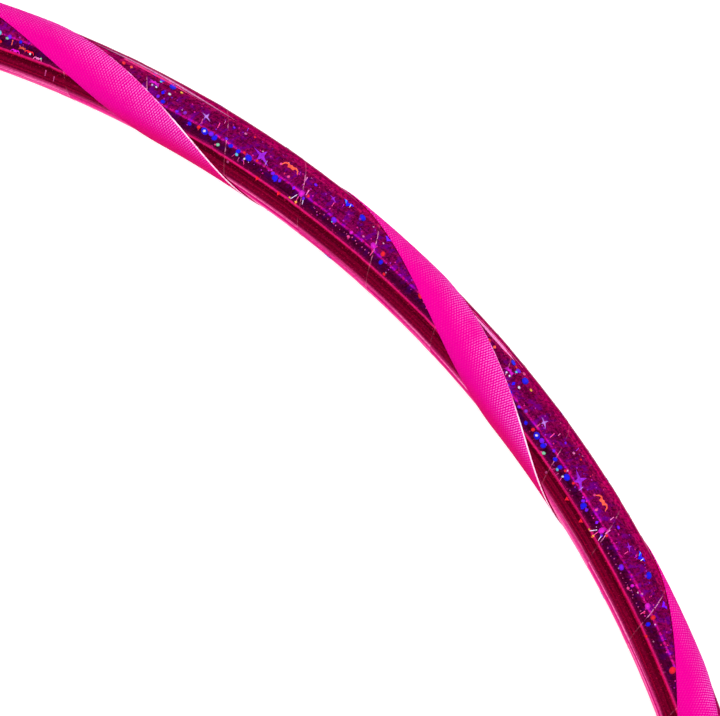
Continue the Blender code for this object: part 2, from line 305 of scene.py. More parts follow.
# The view: straight down on a part of the ring
VIEW_CENTRE = Vector((0.18894, 0.19287, CENTRE_HEIGHT))
VIEW_WIDTH = 0.1862
LENS = 200.0
SENSOR = 36.0

TABLE_REACH = 30.0
TABLE_DROP = 0.02 * MM  # below the tape's lowest point

# What the mirror film reflects: the angle from straight up, in degrees, positive towards the outside of the
# part of the ring in view, and the brightness there
LIGHT_BANDS = [
    (-180, 1.5),
    (-128, 1.6),
    (-117, 1.35),
    (-111, 0.75),
    (-105, 0.42),
    (-100, 0.3),
    (-93, 0.52),
    (-87, 0.33),
    (-81, 0.28),
    (-75, 0.46),
    (-69, 0.38),
    (-63, 0.2),
    (-50, 0.15),
    (-45.5, 0.3),
    (-43, 1.5),
    (-38, 1.5),
    (-35, 0.3),
    (-28, 0.15),
    (-12, 0.15),
    (0, 0.22),
    (4.5, 0.35),
    (7, 1.3),
    (10.5, 1.3),
    (14, 0.55),
    (24, 0.5),
    (40, 0.46),
    (70, 0.44),
    (88, 0.46),
    (102, 0.72),
    (120, 0.82),
    (140, 0.6),
    (180, 0.8),
]

random.seed(11)


def place(turn, around, radius):
    """The point of the row frame at these angles and this distance from the tube's centreline."""
    a, b = math.radians(turn), math.radians(around)
    reach = RING_RADIUS + radius * math.sin(b)
    return Vector((reach * math.cos(a), reach * math.sin(a), CENTRE_HEIGHT + radius * math.cos(b)))


def turn_of(length):
    """The angle round the ring that a length along the tube covers."""
    return math.degrees(length / RING_RADIUS)


# ---------------------------------------------------------------------------------------------- materials


class Nodes:
    """A node tree, with short calls to add nodes and join them."""

    def __init__(self, tree):
        self.tree = tree

    def node(self, kind, **settings):
        made = self.tree.nodes.new(kind)
        for key, value in settings.items():
            setattr(made, key, value)
        return made

    def put(self, socket, value):
        """Sets a socket to a plain value, or joins an output to it."""
        if isinstance(value, bpy.types.NodeSocket):
            self.tree.links.new(value, socket)
        else:
            socket.default_value = value

    def math(self, operation, *values):
        made = self.node("ShaderNodeMath", operation=operation)
        for socket, value in zip(made.inputs, values):
            self.put(socket, value)
        return made.outputs[0]

    def times(self, first, second):
        return self.math("MULTIPLY", first, second)

    def scaled(self, value, factor, offset):
        """The value times the factor, plus the offset."""
        return self.math("MULTIPLY_ADD", value, factor, offset)

    def smooth(self, value, low, high):
        """0 below low, 1 above high, with a soft step between."""
        made = self.node("ShaderNodeMapRange", interpolation_type="SMOOTHSTEP")
        self.put(made.inputs["Value"], value)
        made.inputs["From Min"].default_value = low
        made.inputs["From Max"].default_value = high
        return made.outputs[0]

    def mix(self, factor, first, second):
        made = self.node("ShaderNodeMix", data_type="RGBA")
        self.put(made.inputs[0], factor)
        self.put(made.inputs[6], first)
        self.put(made.inputs[7], second)
        return made.outputs[2]

    def tinge(self, base, amount, colour):
        """The base colour, with this much of another over it."""
        return self.mix(amount, base, (*colour, 1.0))

    def ramp(self, value, stops, interpolation="LINEAR"):
        made = self.node("ShaderNodeValToRGB")
        self.put(made.inputs[0], value)
        fill_ramp(made.color_ramp, stops, interpolation)
        return made.outputs[0]

    def noise(self, vector, scale, detail=2.0, roughness=0.5):
        made = self.node("ShaderNodeTexNoise")
        self.put(made.inputs["Vector"], vector)
        made.inputs["Scale"].default_value = scale
        made.inputs["Detail"].default_value = detail
        made.inputs["Roughness"].default_value = roughness
        return made.outputs["Fac"]

    def split(self, vector):
        made = self.node("ShaderNodeSeparateXYZ")
        self.put(made.inputs[0], vector)
        return made.outputs

    def multiply(self, vector, factors):
        made = self.node("ShaderNodeVectorMath", operation="MULTIPLY")
        self.put(made.inputs[0], vector)
        made.inputs[1].default_value = factors
        return made.outputs[0]

    def place(self):
        """The object's own coordinates, in metres."""
        return self.node("ShaderNodeTexCoord").outputs["Object"]

    def uv(self, layer):
        return self.node("ShaderNodeUVMap", uv_map=layer).outputs[0]

    def bump(self, height, strength, distance, normal=None):
        made = self.node("ShaderNodeBump")
        self.put(made.inputs["Height"], height)
        made.inputs["Strength"].default_value = strength
        made.inputs["Distance"].default_value = distance
        if normal is not None:
            self.put(made.inputs["Normal"], normal)
        return made.outputs[0]

    def side(self):
        """Where a point is across the tube as seen along the ring's axis: -1 at its inner rim and 1 at
        its outer rim."""
        x, y, _ = self.split(self.place())
        reach = self.math("SQRT", self.math("ADD", self.times(x, x), self.times(y, y)))
        return self.math("DIVIDE", self.math("SUBTRACT", reach, RING_RADIUS), FOIL_OUTSIDE)


class Shader(Nodes):
    """A material's node tree."""

    def __init__(self, name):
        self.material = bpy.data.materials.new(name)
        self.material.use_nodes = True
        super().__init__(self.material.node_tree)
        self.surface = self.tree.nodes["Principled BSDF"]

    def set(self, name, value):
        self.put(self.surface.inputs[name], value)


def fill_ramp(ramp, stops, interpolation):
    """Sets a colour ramp's stops. It starts with two of its own."""
    ramp.interpolation = interpolation
    for index, (position, colour) in enumerate(stops):
        if index < 2:
            stop = ramp.elements[index]
            stop.position = position
        else:
            stop = ramp.elements.new(position)
        stop.color = (*colour, 1.0)


def film_colour_with_painted_tints(s, side):
    """The film's colour with painted reflection tints across the tube: rosy at the tube's inner rim, then
    crimson, magenta on top and redder again outside.
    """
    return s.ramp(
        s.scaled(side, 0.5, 0.5),
        [
            (0.0, (0.62, 0.060, 0.250)),
            (0.07, (0.62, 0.050, 0.230)),
            (0.105, (0.58, 0.004, 0.090)),
            (0.14, (0.56, 0.0, 0.060)),
            (0.3, (0.56, 0.0, 0.050)),
            (0.325, (0.66, 0.008, 0.150)),
            (0.36, (0.62, 0.008, 0.190)),
            (0.42, (0.60, 0.0, 0.230)),
            (0.52, (0.62, 0.003, 0.235)),
            (0.68, (0.60, 0.0, 0.210)),
            (0.82, (0.62, 0.0, 0.150)),
            (1.0, (0.62, 0.01, 0.150)),
        ],
    )


def film_lines(s, base, skin, side):
    """Fine painted reflection lines along the tube near its two rims: dark and pale ones inside, red ones
    outside.
    """
    lines = s.noise(s.multiply(skin, (16.0, 1100.0, 1.0)), 1.0, 2.0, 0.7)
    dark = s.times(s.smooth(lines, 0.5, 0.6), s.smooth(side, -0.74, -0.84))
    base = s.tinge(base, s.times(dark, 0.6), (0.26, 0.0, 0.04))
    pale = s.times(s.smooth(lines, 0.46, 0.38), s.smooth(side, -0.8, -0.9))
    base = s.tinge(base, s.times(pale, 0.6), (0.85, 0.36, 0.55))
    red = s.times(s.smooth(lines, 0.47, 0.6), s.smooth(side, 0.62, 0.78))
    return s.tinge(base, s.times(red, 0.6), (0.98, 0.015, 0.16))


def slanted(s, skin):
    """The place on the film, sheared so that its grain slants round the tube."""
    x, y, _ = s.split(skin)
    made = s.node("ShaderNodeCombineXYZ")
    s.put(made.inputs[0], s.scaled(y, 0.3, x))
    s.put(made.inputs[1], s.times(y, 0.6))
    return made.outputs[0]


def film_clouds(s, base, skin, slant, side, painted_light):
    """Dark flecks and pools, a violet haze that is a painted highlight, and a hot blush, all weighted by the
    painted light across the tube.
    """
    cloud = s.noise(slant, 1500.0, 4.0, 0.7)
    flecks = s.times(s.smooth(cloud, 0.55, 0.41), s.scaled(painted_light, 0.5, 0.3))
    base = s.tinge(base, flecks, (0.10, 0.0, 0.04))
    pools = s.noise(s.multiply(skin, (0.6, 1.0, 1.0)), 420.0, 3.0, 0.65)
    base = s.tinge(base, s.times(s.smooth(pools, 0.5, 0.62), s.times(painted_light, 0.6)), (0.12, 0.0, 0.05))
    # painted highlight: a violet haze on the tube's top and outer side, where the light falls
    haze = s.noise(slant, 520.0, 3.0, 0.65)
    painted_violet_highlight = s.times(s.times(painted_light, s.smooth(side, 0.8, 0.45)), 0.7)
    base = s.tinge(base, s.times(s.smooth(haze, 0.48, 0.62), painted_violet_highlight), (0.36, 0.0, 0.62))
    blush = s.noise(s.multiply(skin, (0.5, 1.0, 1.0)), 900.0, 2.0, 0.7)
    blushing = s.times(s.smooth(blush, 0.56, 0.68), s.scaled(painted_light, 0.45, 0.1))
    return s.tinge(base, blushing, (0.95, 0.01, 0.26))


def film_sparkle(s, base, sparks, side, painted_light):
    """The finest glitter, with painted light: stronger where the light falls, red on the tube's inner side
    and pink elsewhere.
    """
    sparkle = s.times(s.smooth(sparks, 0.57, 0.72), s.scaled(painted_light, 0.5, 0.4))
    sparkle = s.times(sparkle, s.scaled(s.smooth(side, 0.85, 0.55), 0.7, 0.3))
    return s.mix(sparkle, base, s.mix(painted_light, (0.95, 0.01, 0.09, 1.0), (0.98, 0.02, 0.36, 1.0)))


def film_grains(s, skin, side):
    """The film's coarse round grains and their colours, painted only across the tube's top, where they catch
    the light as painted glints.
    """
    grains = s.node("ShaderNodeTexVoronoi", feature="F1")
    s.put(grains.inputs["Vector"], skin)
    grains.inputs["Scale"].default_value = 1300.0
    seed = s.split(grains.outputs["Color"])
    near = s.math("LESS_THAN", grains.outputs["Distance"], 0.28)
    grain_glints = s.times(near, s.math("GREATER_THAN", seed[0], 0.84))
    colour = s.ramp(
        seed[1],
        [
            (0.0, (0.10, 0.02, 0.75)),
            (0.2, (0.42, 0.02, 0.70)),
            (0.5, (0.95, 0.02, 0.36)),
            (0.8, (0.95, 0.03, 0.08)),
            (0.93, (0.95, 0.55, 0.85)),
        ],
        "CONSTANT",
    )
    # painted glints: the grains show only across the tube's top, where they catch the light
    grain_glints = s.times(grain_glints, s.smooth(side, -0.42, -0.05))
    return s.times(grain_glints, s.smooth(side, 0.85, 0.6)), colour


def film_cut_edge(s, skin, side, painted_light):
    """Where the strip's edge shows as a thin, broken, pale line: a painted glint, stronger where the painted
    light falls.
    """
    across = s.split(s.uv("strip"))[1]
    # painted glint along the strip's edge, broken up by noise
    fine_breaks = s.smooth(s.noise(skin, 900.0, 2.0, 0.7), 0.36, 0.52)
    broken_up = s.times(fine_breaks, s.smooth(s.noise(skin, 190.0, 1.0, 0.5), 0.36, 0.5))
    width = s.times(s.noise(skin, 500.0, 2.0, 0.6), 0.5 * MM)
    edge = s.times(s.math("LESS_THAN", across, width), broken_up)
    edge = s.times(edge, s.scaled(painted_light, 0.65, 0.2))
    return s.times(edge, s.scaled(s.smooth(side, 0.75, 0.45), 0.8, 0.2))


def film_dust(s, sparks, streaks, side, painted_light):
    """Matt specks and streaks on the tube's inner side, short of its rim."""
    specks = s.times(s.smooth(sparks, 0.56, 0.68), 0.42)
    dust = s.math("MAXIMUM", specks, s.times(s.smooth(streaks, 0.46, 0.34), 0.2))
    return s.times(dust, s.times(s.smooth(painted_light, 0.6, 0.0), s.smooth(side, -0.9, -0.8)))


def foil_material():
    """Mirror film with a fine holographic glitter. Its colours follow the place across the tube, with painted
    reflection tints and painted light.
    """
    s = Shader("holographic_foil")
    skin = s.uv("skin")
    slant = slanted(s, skin)
    side = s.side()
    # painted light across the tube, which the colour marks below are weighted by
    painted_light = s.smooth(side, -0.34, -0.05)  # 0 on the tube's inner side, 1 on its top and its outer side
    streaks = s.noise(s.multiply(skin, (14.0, 2400.0, 1.0)), 1.0, 3.0, 0.6)
    sparks = s.noise(slant, 2600.0, 2.0, 0.7)

    base = film_colour_with_painted_tints(s, side)
    base = s.tinge(base, s.times(s.smooth(streaks, 0.42, 0.7), 0.55), (0.13, 0.0, 0.02))
    base = film_lines(s, base, skin, side)
    base = film_clouds(s, base, skin, slant, side, painted_light)
    base = film_sparkle(s, base, sparks, side, painted_light)
    grain_glints, grain_colour = film_grains(s, skin, side)
    base = s.mix(s.times(grain_glints, 0.6), base, grain_colour)
    cut_edge = film_cut_edge(s, skin, side, painted_light)
    # the painted glint on the strip's edge
    base = s.tinge(base, cut_edge, (1.0, 0.32, 0.58))

    matt = s.math("MAXIMUM", s.times(grain_glints, 0.7), cut_edge)
    matt = s.math("MAXIMUM", matt, film_dust(s, sparks, streaks, side, painted_light))
    s.set("Base Color", base)
    s.set("Metallic", s.scaled(matt, -0.8, 1.0))
    s.set("Roughness", s.scaled(matt, 0.4, 0.08))
    s.set("Specular Tint", (1.0, 0.4, 0.6, 1.0))
    ripples = s.noise(s.multiply(skin, (50.0, 150.0, 1.0)), 1.0, 2.0, 0.5)
    fine = s.noise(skin, 1500.0, 1.0, 0.5)
    normal = s.bump(ripples, 0.5, 0.08 * MM)
    s.set("Normal", s.bump(fine, 0.4, 0.012 * MM, normal))
    return s.material


def cloth_material():
    """Hot pink cloth tape: ribs straight across the strip, broken into rows of dots by slanting threads.
    Painted sheen makes the ribs pale along one edge and towards the ring's outside, with painted shade in the
    hollows of the weave; along the other edge the ribs stay dark pink."""
    s = Shader("grip_cloth")
    strip = s.uv("strip")
    along, across, _ = s.split(strip)
    side = s.side()

    wander = s.times(s.noise(strip, 160.0, 2.0, 0.5), 0.45 * MM)
    wander = s.scaled(s.noise(strip, 1000.0, 1.0, 0.5), 0.22 * MM, wander)
    row = s.math("ADD", along, wander)
    rib = s.math("SINE", s.times(row, 2 * math.pi / RIB_PITCH))
    slanting = s.scaled(row, 0.5, across)
    thread = s.math("SINE", s.times(slanting, 2 * math.pi / THREAD_PITCH))
    fuzz = s.noise(strip, 2600.0, 3.0, 0.7)
    ribbed = s.smooth(across, GRIP_WIDTH * 0.05, -GRIP_WIDTH * 0.45)
    weave = s.times(rib, s.scaled(ribbed, 0.34, 0.46))
    weave = s.math("ADD", weave, s.times(thread, s.scaled(ribbed, -0.14, 0.44)))
    weave = s.scaled(s.math("SUBTRACT", fuzz, 0.5), 2.1, weave)
    patches = s.noise(strip, 110.0, 3.0, 0.55)

    # hot is the dye; red is its painted shade, pale the painted sheen's tint and deep the painted shade in
    # the weave's hollows
    hot = (0.68, 0.0, 0.245, 1.0)
    red = (0.68, 0.0, 0.115, 1.0)
    pale = (0.84, 0.19, 0.67, 1.0)
    deep = (0.52, 0.0, 0.25, 1.0)
    # painted shade: the tape turns redder towards the ring's inside
    base = s.mix(s.smooth(side, -1.1, -0.55), red, hot)
    # painted sheen: ribs pale along one edge of the strip and towards the ring's outside, in patches
    painted_sheen = s.smooth(across, GRIP_WIDTH * 0.24, -GRIP_WIDTH * 0.4)
    painted_sheen = s.math("MAXIMUM", painted_sheen, s.times(s.smooth(side, 0.35, 0.95), 0.45))
    painted_sheen = s.times(painted_sheen, s.smooth(patches, 0.15, 0.5))
    painted_sheen = s.times(painted_sheen, s.smooth(side, -0.95, -0.45))
    rib_sheen = s.scaled(painted_sheen, 0.82, 0.04)
    base = s.mix(s.times(s.smooth(weave, 0.1, 0.9), rib_sheen), base, pale)
    # painted shade in the hollows of the weave, deepest where the sheen is
    hollow_shade = s.scaled(painted_sheen, 0.4, 0.2)
    base = s.mix(s.times(s.smooth(weave, 0.0, -0.8), hollow_shade), base, deep)
    s.set("Base Color", base)
    s.set("Roughness", 0.9)
    s.set("Specular IOR Level", 0.02)
    s.set("Normal", s.bump(weave, 0.5, 0.05 * MM))
    return s.material


def cut_edge_material():
    """The cut edge of the cloth tape: rosy, and near white where the edge faces the ring's inside."""
    s = Shader("grip_edge")
    fibres = s.noise(s.uv("strip"), 1500.0, 2.0, 0.6)
    whitened = s.times(s.smooth(s.side(), 0.1, -0.3), s.smooth(fibres, 0.2, 0.5))
    rosy = s.mix(s.smooth(fibres, 0.4, 0.65), (0.74, 0.01, 0.27, 1.0), (0.9, 0.3, 0.7, 1.0))
    s.set("Base Color", s.mix(whitened, rosy, (0.96, 0.70, 0.88, 1.0)))
    s.set("Roughness", 0.7)
    s.set("Specular IOR Level", 0.1)
    return s.material


def plastic_material(name, light, dark, roughness):
    """Moulded or extruded plastic, with faint clouds and fine handling scratches."""
    s = Shader(name)
    spot = s.place()
    clouds = s.noise(spot, 60.0, 3.0, 0.6)
    scratches = s.noise(s.multiply(spot, (900.0, 160.0, 900.0)), 1.0, 3.0, 0.7)
    s.set("Base Color", s.mix(s.smooth(clouds, 0.3, 0.7), (*dark, 1.0), (*light, 1.0)))
    s.set("Roughness", s.math("ADD", roughness, s.times(s.smooth(scratches, 0.5, 0.7), 0.15)))
    s.set("Normal", s.bump(scratches, 0.15, 0.02 * MM))
    return s.material


def metal_material(name, light, dark, roughness):
    """Bare metal, with a drawn or turned grain and dull spots."""
    s = Shader(name)
    spot = s.place()
    lines = s.noise(s.multiply(spot, (400.0, 400.0, 4000.0)), 1.0, 3.0, 0.65)
    spots = s.noise(spot, 900.0, 3.0, 0.6)
    s.set("Base Color", s.mix(s.smooth(spots, 0.35, 0.65), (*dark, 1.0), (*light, 1.0)))
    s.set("Metallic", 1.0)
    s.set("Roughness", s.math("ADD", roughness, s.times(lines, 0.15)))
    s.set("Normal", s.bump(lines, 0.2, 0.01 * MM))
    return s.material


def figure_material():
    """The film's printed dots, stars and strokes, and the painted highlights beside the tape, in the tints
    stored at their corners.
    """
    s = Shader("foil_figures")
    tint = s.node("ShaderNodeVertexColor", layer_name="tint").outputs["Color"]
    flicker = s.noise(s.place(), 1500.0, 2.0, 0.6)
    dim = s.multiply(tint, (0.72, 0.55, 0.75))
    s.set("Base Color", s.mix(s.smooth(flicker, 0.4, 0.6), dim, tint))
    s.set("Roughness", s.math("ADD", 0.25, s.times(flicker, 0.2)))
    s.set("Specular IOR Level", 0.2)
    return s.material


# ----------------------------------------------------------------------------------------------- geometry


def make_object(name, mesh_data, *materials):
    mesh = bpy.data.meshes.new(name)
    mesh_data.to_mesh(mesh)
    mesh_data.free()
    for finish in materials:
        mesh.materials.append(finish)
    mesh.shade_smooth()
    mesh.set_sharp_from_angle(angle=SHARP_ANGLE)
    made = bpy.data.objects.new(name, mesh)
    bpy.context.scene.collection.objects.link(made)
    return made


def strip_solid(sections, rim_slot=0):
    """A closed solid strip. Each section is a list of corners all round the strip, upper side first and
    then back along the lower side, each as (place, skin, strip), the last two being its UV places."""
    made = bmesh.new()
    layers = [made.loops.layers.uv.new(name) for name in ("skin", "strip")]
    rows = [[made.verts.new(corner[0]) for corner in section] for section in sections]
    count = len(rows[0])

    def face(corners, spots, slot=0):
        new = made.faces.new(corners)
        new.material_index = slot
        for loop, spot in zip(new.loops, spots):
            for layer, where in zip(layers, spot[1:]):
                loop[layer].uv = where

    for row in range(len(rows) - 1):
        near, far = rows[row], rows[row + 1]
        near_spot, far_spot = sections[row], sections[row + 1]
        for i in range(count):
            j = (i + 1) % count
            slot = rim_slot if i == 0 else 0
            corners = (near[i], near[j], far[j], far[i])
            spots = (near_spot[i], near_spot[j], far_spot[j], far_spot[i])
            face(corners, spots, slot)
    face(list(reversed(rows[0])), list(reversed(sections[0])))
    face(rows[-1], sections[-1])
    bmesh.ops.recalc_face_normals(made, faces=made.faces)
    return made


def trim_at_joint(made, first, last):
    """Cuts a strip's solid square where it passes the tube's ends."""
    half = turn_of(BUTT_GAP / 2)
    for turn, keep in ((JOINT_TURN - 360 + half, 1), (JOINT_TURN - half, -1)):
        reaches = first < turn if keep > 0 else last > turn
        if not reaches:
            continue
        forward = Vector((-math.sin(math.radians(turn)), math.cos(math.radians(turn)), 0.0))
        cut = bmesh.ops.bisect_plane(
            made,
            geom=[*made.verts, *made.edges, *made.faces],
            plane_co=(0.0, 0.0, 0.0),
            plane_no=-forward * keep,
            clear_outer=True,
        )
        edges = [part for part in cut["geom_cut"] if isinstance(part, bmesh.types.BMEdge)]
        bmesh.ops.edgeloop_fill(made, edges=edges)
        bmesh.ops.recalc_face_normals(made, faces=made.faces)


def foil_section(wound):
    """The strip's corners at one angle round the tube, counted on through all its turns."""
    pitch = 360.0 / FOIL_TURNS
    edge = FOIL_SEAM_TURN + wound / 360.0 * pitch
    overlap, ramp = turn_of(FOIL_OVERLAP), turn_of(FOIL_RAMP)
    upper = FILM + FILM_GAP
    spread = [0.0, overlap * 0.5, overlap, overlap + ramp * 0.5, overlap + ramp]
    spread += [overlap + ramp + (pitch - overlap - ramp) * share for share in (0.35, 0.7, 1.0)]
    spread.append(pitch + overlap)
    lifts = [upper, upper, upper, upper / 2, 0.0, 0.0, 0.0, 0.0, 0.0]

    def corner(offset, lift, level):
        turn = edge + offset
        skin = (math.radians(turn) * RING_RADIUS, math.radians(wound) * FOIL_OUTSIDE)
        strip = (skin[1], math.radians(offset) * RING_RADIUS)
        return place(turn, wound, FOIL_INSIDE + lift + level), skin, strip

    top = [corner(offset, lift, FILM) for offset, lift in zip(spread, lifts)]
    bottom = [corner(offset, lift, 0.0) for offset, lift in zip(spread, lifts)]
    return [*top, *reversed(bottom)]


def foil_pieces(finish):
    """The foil's strip, in arcs that meet under the tube."""
    pitch = 360.0 / FOIL_TURNS
    start = math.floor((JOINT_TURN - 360.0 - FOIL_SEAM_TURN) / pitch) - 2
    end = start + FOIL_TURNS + 3
    marks = [start + round((end - start) * k / FOIL_PIECES) for k in range(FOIL_PIECES + 1)]
    made = []
    for number, (low, high) in enumerate(zip(marks, marks[1:]), start=1):
        wounds = [180.0 + 360.0 * (low + step / FOIL_STATIONS)
                  for step in range((high - low) * FOIL_STATIONS + 1)]
        solid = strip_solid([foil_section(wound) for wound in wounds])
        low_turn = FOIL_SEAM_TURN + wounds[0] / 360.0 * pitch
        high_turn = FOIL_SEAM_TURN + wounds[-1] / 360.0 * pitch + 2 * pitch
        trim_at_joint(solid, low_turn, high_turn)
        made.append(make_object(f"foil_{number:02d}", solid, finish))
    return made


def grip_turn(wound):
    """Where the middle of the grip tape is, after it has wound this far round the tube."""
    done = wound / GRIP_TURNS
    drift = GRIP_DRIFT * math.sin(math.radians(done))
    return GRIP_TOP_TURN + done + drift + GRIP_LEAN * math.sin(math.radians(wound))


def grip_half_width(wound):
    """Half of the tape's width along the ring, in degrees."""
    return turn_of(GRIP_WIDTH / 2 / math.sin(grip_slope(wound)))


def grip_slope(wound):
    """The angle between the tape and the tube's length."""
    step = 0.5
    advance = (grip_turn(wound + step) - grip_turn(wound - step)) / (2 * step)
    return math.atan2(GRIP_INSIDE, RING_RADIUS * advance)


def grip_section(wound, length, fray):
    """The cloth strip's corners at one angle round the tube. fray moves its two edges a little."""
    middle, half = grip_turn(wound), grip_half_width(wound)
    lead = GRIP_WIDTH / 2 / math.tan(grip_slope(wound))
    lip = GRIP_LIP / (GRIP_WIDTH / 2)
    shares = [-1.0, -1.0 + lip, -0.7, -0.35, 0.0, 0.35, 0.7, 1.0 - lip, 1.0]
    drops = [GRIP_DROPS[0], *[0.0] * (len(shares) - 2), GRIP_DROPS[1]]

    def corner(share, radius):
        frayed = turn_of(fray[0] if share == -1.0 else fray[1] if share == 1.0 else 0.0)
        turn = middle + share * half + frayed
        skin = (math.radians(turn) * RING_RADIUS, math.radians(wound) * FOIL_OUTSIDE)
        strip = (length + share * lead, share * GRIP_WIDTH / 2)
        return place(turn, wound, radius), skin, strip

    top = [corner(share, GRIP_OUTSIDE - drop) for share, drop in zip(shares, drops)]
    bottom = [corner(share, GRIP_INSIDE) for share in shares]
    return [*top, *reversed(bottom)]


def grip_pieces(finish, rim):
    """The grip tape's spiral, in arcs that meet under the tube."""
    start = math.floor((JOINT_TURN - 360.0 - GRIP_TOP_TURN) / 360.0 * GRIP_TURNS) - 1
    end = start + GRIP_TURNS + 2
    marks = [start + round((end - start) * k / GRIP_PIECES) for k in range(GRIP_PIECES + 1)]
    length = 0.0
    made = []
    for number, (low, high) in enumerate(zip(marks, marks[1:]), start=1):
        sections = []
        before = 180.0 + 360.0 * low
        for step in range((high - low) * GRIP_STATIONS + 1):
            wound = 180.0 + 360.0 * (low + step / GRIP_STATIONS)
            advance = math.radians(grip_turn(wound) - grip_turn(before)) * RING_RADIUS
            length += math.hypot(math.radians(wound - before) * GRIP_OUTSIDE, advance)
            fray = [random.uniform(-GRIP_FRAY, GRIP_FRAY) for _ in range(2)]
            sections.append(grip_section(wound, length, fray))
            before = wound
        solid = strip_solid(sections, rim_slot=1)
        first = grip_turn(180.0 + 360.0 * low) - GRIP_REACH
        last = grip_turn(180.0 + 360.0 * high) + GRIP_REACH
        trim_at_joint(solid, first, last)
        if solid.verts:
            made.append(make_object(f"grip_tape_{number}", solid, finish, rim))
    return made


def figure_outline(shape, size):
    """A figure's corners round its own centre, along and round the tube, in metres."""
    half = size * MM / 2
    if shape in OUTLINES:
        return [(-half * x, half * y) for x, y in OUTLINES[shape]]
    phase = random.uniform(0.0, 6.0)
    angles = [2 * math.pi * i / DOT_CORNERS for i in range(DOT_CORNERS)]
    radii = [half * (DOT_ROUNDNESS + DOT_WOBBLE * math.sin(2 * angle + phase)) for angle in angles]
    return [(radius * math.cos(angle), radius * math.sin(angle)) for angle, radius in zip(angles, radii)]


def print_of_one_repeat():
    """The figures of one repeat: each a tint and its corners, as turn and around angles."""
    figures = list(FIGURES)
    first, last, spacing = ROW_OF_DASHES
    for step in range(int((last - first) / spacing)):
        turn = first + (step + random.uniform(-0.3, 0.3)) * spacing
        around, size = random.uniform(*DASH_AROUND), random.uniform(*DASH_SIZE)
        figures.append(("gem", "rose", turn, around, size))
    for _ in range(HIDDEN_FIGURES):
        shape = random.choice(HIDDEN_SHAPES)
        tint = random.choice(HIDDEN_TINTS)
        size = random.uniform(*HIDDEN_SIZE) * (2.0 if shape in WIDE_SHAPES else 1.0)
        turn = REPEAT_START + random.uniform(0.0, REPEAT_TURN)
        figures.append((shape, tint, turn, random.uniform(*HIDDEN_AROUND), size))
    return [figure_corners(figure) for figure in figures]


def figure_corners(figure):
    """A figure's tint, and its corners as turn and around angles."""
    shape, tint, turn, around, size = figure
    corners = [(turn + math.degrees(x / RING_RADIUS), around + math.degrees(y / FOIL_OUTSIDE))
               for x, y in figure_outline(shape, size)]
    return tint, corners


def draw_flat(made, figures):
    """The figures as flat faces, unrolled from the tube, with their tints and the layers they lie in."""
    tint_layer = made.verts.layers.float_color.new("tint")
    layer_of = made.verts.layers.int.new("layer")
    for number, (tint, outline) in enumerate(figures):
        corners = []
        for turn, around in outline:
            spot = (math.radians(turn) * RING_RADIUS, math.radians(around) * FOIL_OUTSIDE, 0.0)
            corners.append(made.verts.new(spot))
        for corner in corners:
            corner[tint_layer] = (*TINTS[tint], 1.0)
            corner[layer_of] = number % FIGURE_LAYERS
        face = made.faces.new(corners)
        if len(corners) == DOT_CORNERS:
            for corner in corners:
                corner[tint_layer] = (*(DOT_RIM * part for part in TINTS[tint]), 1.0)
            centre = bmesh.ops.poke(made, faces=[face])["verts"][0]
            centre[tint_layer] = (*TINTS[tint], 1.0)
            centre[layer_of] = number % FIGURE_LAYERS
    return layer_of


def figure_solids(figures, finish, name):
    """Thin solids on the foil for a list of figures, each bent to the tube."""
    made = bmesh.new()
    layer_of = draw_flat(made, figures)
    bmesh.ops.triangulate(made, faces=made.faces)
    for _ in range(FIGURE_ROUNDS):
        long_edges = [edge for edge in made.edges if edge.calc_length() > FIGURE_EDGE]
        bmesh.ops.subdivide_edges(made, edges=long_edges, cuts=1)
        bmesh.ops.triangulate(made, faces=[face for face in made.faces if len(face.verts) > 3])
    raised = bmesh.ops.extrude_face_region(made, geom=list(made.faces), use_keep_orig=True)
    for part in raised["geom"]:
        if isinstance(part, bmesh.types.BMVert):
            part.co.z = FIGURE_HEIGHT + FIGURE_LAYER * part[layer_of]
    for corner in made.verts:
        x, y, level = corner.co
        radius = FOIL_OUTSIDE + FIGURE_FOOT + level
        corner.co = place(math.degrees(x / RING_RADIUS), math.degrees(y / FOIL_OUTSIDE), radius)
    bmesh.ops.recalc_face_normals(made, faces=made.faces)
    return make_object(name, made, finish)


def moved_figures(one_repeat, number, heads):
    """One repeat's figures at their own place along the ring, without those that would cross the joint or
    lie by the head of the button or a rivet."""
    margin = turn_of(JOINT_MARGIN)
    moved = []
    for tint, corners in one_repeat:
        shifted = [(turn + number * REPEAT_TURN, around + number * REPEAT_AROUND) for turn, around in corners]
        turns = [turn for turn, _ in shifted]
        spot = place(*shifted[0], FOIL_OUTSIDE)
        on_head = any(math.hypot(spot.x - head.x, spot.y - head.y) < HEAD_MARGIN for head in heads)
        whole = JOINT_TURN - 360.0 + margin < min(turns) and max(turns) < JOINT_TURN - margin
        if whole and not on_head:
            moved.append((tint, shifted))
    return moved


def figure_pieces(finish):
    """The whole print, two repeats to a piece, and what only the repeat in view has."""
    one_repeat = print_of_one_repeat()
    heads = [(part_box(node)[0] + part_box(node)[1]) / 2 for node, _ in HOLES]
    repeats = []
    for number in REPEATS:
        moved = moved_figures(one_repeat, number, heads)
        if number == 0:
            # the repeat in view also gets the painted highlights beside the tape
            moved += PAINTED_HIGHLIGHTS
            moved += [figure_corners(figure) for figure in ODD_FIGURES]
        if moved:
            repeats.append(moved)
    starts = range(0, len(repeats), REPEATS_IN_PIECE)
    groups = [sum(repeats[start:start + REPEATS_IN_PIECE], []) for start in starts]
    return [
        figure_solids(figures, finish, f"foil_figures_{number}")
        for number, figures in enumerate(groups, start=1)
    ]


